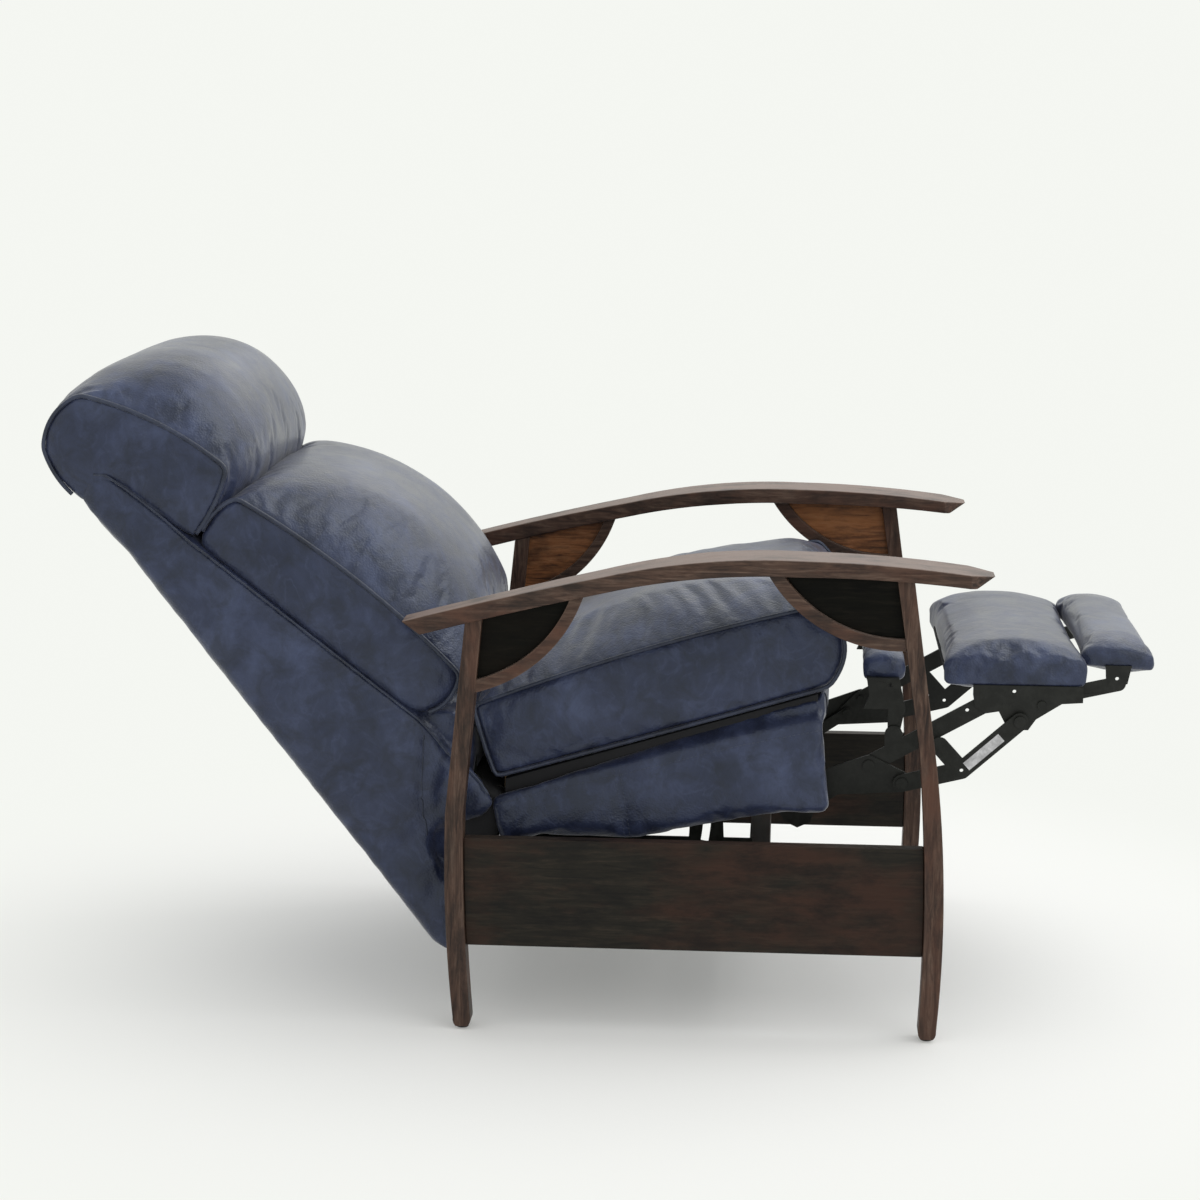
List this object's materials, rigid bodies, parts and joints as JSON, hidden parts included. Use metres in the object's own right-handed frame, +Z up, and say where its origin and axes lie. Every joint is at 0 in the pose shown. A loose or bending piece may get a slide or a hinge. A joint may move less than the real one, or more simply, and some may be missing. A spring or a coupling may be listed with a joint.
{
  "type": "push back recliner",
  "caption": "Push back recliner with bent wood arms and legs, leather seat, back and head cushions, and a folding footrest that swings out on a steel linkage.",
  "frame": {"origin": "centre of the bounding box on the floor, in the reclined pose with the footrest out", "axes": "+Z up, the chair faces -Y, the sitter's right is -X"},
  "size_m": [0.715, 1.4874, 0.879],
  "materials": {
    "walnut": "worn satin lacquer",
    "dark_walnut": "dark worn lacquer",
    "frame_timber": "unfinished",
    "navy_leather": "pebbled satin",
    "webbing": "woven",
    "black_steel": "black satin",
    "zinc_steel": "zinc plated",
    "glide_plastic": "matte"
  },
  "bodies": {
    "base": {"arm_right": "walnut", "front_leg_right": "walnut", "rear_leg_right": "walnut", "side_apron_right": "dark_walnut", "front_quarter_panel_right": "dark_walnut", "front_quarter_trim_right": "walnut", "rear_quarter_panel_right": "dark_walnut", "rear_quarter_trim_right": "walnut", "base_rail_right": "black_steel", "arm_left": "walnut", "front_leg_left": "walnut", "rear_leg_left": "walnut", "side_apron_left": "dark_walnut", "front_quarter_panel_left": "dark_walnut", "front_quarter_trim_left": "walnut", "rear_quarter_panel_left": "dark_walnut", "rear_quarter_trim_left": "walnut", "base_rail_left": "black_steel", "front_cross_rail": "dark_walnut", "rear_cross_rail": "dark_walnut", "leg_glides": "glide_plastic"},
    "seat": {"seat_plate_right": "black_steel", "seat_plate_left": "black_steel", "seat_side_rail_right": "frame_timber", "seat_side_rail_left": "frame_timber", "seat_front_rail": "frame_timber", "seat_rear_rail": "frame_timber", "seat_webbing": "webbing", "seat_deck_cover": "navy_leather", "seat_pivot_bolts": "zinc_steel", "seat_cushion": "navy_leather"},
    "back": {"back_bracket_right": "black_steel", "back_bracket_left": "black_steel", "back_side_right": "frame_timber", "back_side_left": "frame_timber", "back_top_rail": "frame_timber", "back_bottom_rail": "frame_timber", "back_webbing": "webbing", "back_cover": "navy_leather", "back_pivot_bolts": "zinc_steel", "back_cushion": "navy_leather", "head_cushion": "navy_leather"},
    "carrier": {"carrier_link_right": "black_steel", "carrier_link_left": "black_steel", "cross_tube": "black_steel"},
    "upper_links": {"upper_link_right": "black_steel", "upper_link_left": "black_steel"},
    "lower_links": {"lower_link_right": "black_steel", "lower_link_left": "black_steel"},
    "footrest": {"footrest_bracket_right": "black_steel", "footrest_bracket_left": "black_steel", "footrest_board": "frame_timber", "footrest_pad": "navy_leather"},
    "flipper": {"flipper_bracket_right": "black_steel", "flipper_bracket_left": "black_steel", "flipper_board": "frame_timber", "flipper_pad": "navy_leather"},
    "inner_rest": {"inner_pad_brackets": "black_steel", "inner_pad": "navy_leather"},
    "controls": {"control_links": "black_steel"}
  },
  "joints": [
    {"name": "recline", "type": "hinge", "parent": "base", "child": "seat", "pos_m": [0, 0.095, 0.28], "axis": [1, 0, 0], "range_deg": [0, 10]},
    {"name": "back_tilt", "type": "hinge", "parent": "seat", "child": "back", "pos_m": [0, 0.18, 0.4], "axis": [1, 0, 0], "range_deg": [0, 16]},
    {"name": "footrest_swing", "type": "hinge", "parent": "seat", "child": "carrier", "pos_m": [0, -0.287, 0.315], "axis": [1, 0, 0], "range_deg": [0, 83.2]},
    {"name": "upper_link_swing", "type": "hinge", "parent": "carrier", "child": "upper_links", "pos_m": [0, -0.367, 0.345], "axis": [-1, 0, 0], "range_deg": [0, 144.6]},
    {"name": "lower_link_swing", "type": "hinge", "parent": "carrier", "child": "lower_links", "pos_m": [0, -0.412, 0.323], "axis": [-1, 0, 0], "range_deg": [0, 144.6]},
    {"name": "footrest_bracket_turn", "type": "hinge", "parent": "lower_links", "child": "footrest", "pos_m": [0, -0.568, 0.412], "axis": [1, 0, 0], "range_deg": [0, 144.6]},
    {"name": "flipper_turn", "type": "hinge", "parent": "footrest", "child": "flipper", "pos_m": [0, -0.64, 0.448], "axis": [1, 0, 0], "range_deg": [0, 90]},
    {"name": "inner_pad_turn", "type": "hinge", "parent": "upper_links", "child": "inner_rest", "pos_m": [0, -0.4, 0.388], "axis": [1, 0, 0], "range_deg": [0, 73.3]},
    {"name": "control_swing", "type": "hinge", "parent": "seat", "child": "controls", "pos_m": [0, -0.272, 0.274], "axis": [1, 0, 0], "range_deg": [0, 79.8]}
  ],
  "couplings": [
    {"joint": "back_tilt", "follows": "recline", "ratio": 1.6},
    {"joint": "upper_link_swing", "follows": "footrest_swing", "ratio": 1.7368},
    {"joint": "lower_link_swing", "follows": "footrest_swing", "ratio": 1.7368},
    {"joint": "footrest_bracket_turn", "follows": "footrest_swing", "ratio": 1.7368},
    {"joint": "flipper_turn", "follows": "footrest_swing", "ratio": 1.0817},
    {"joint": "inner_pad_turn", "follows": "footrest_swing", "ratio": 0.881},
    {"joint": "control_swing", "follows": "footrest_swing", "ratio": 0.959}
  ]
}
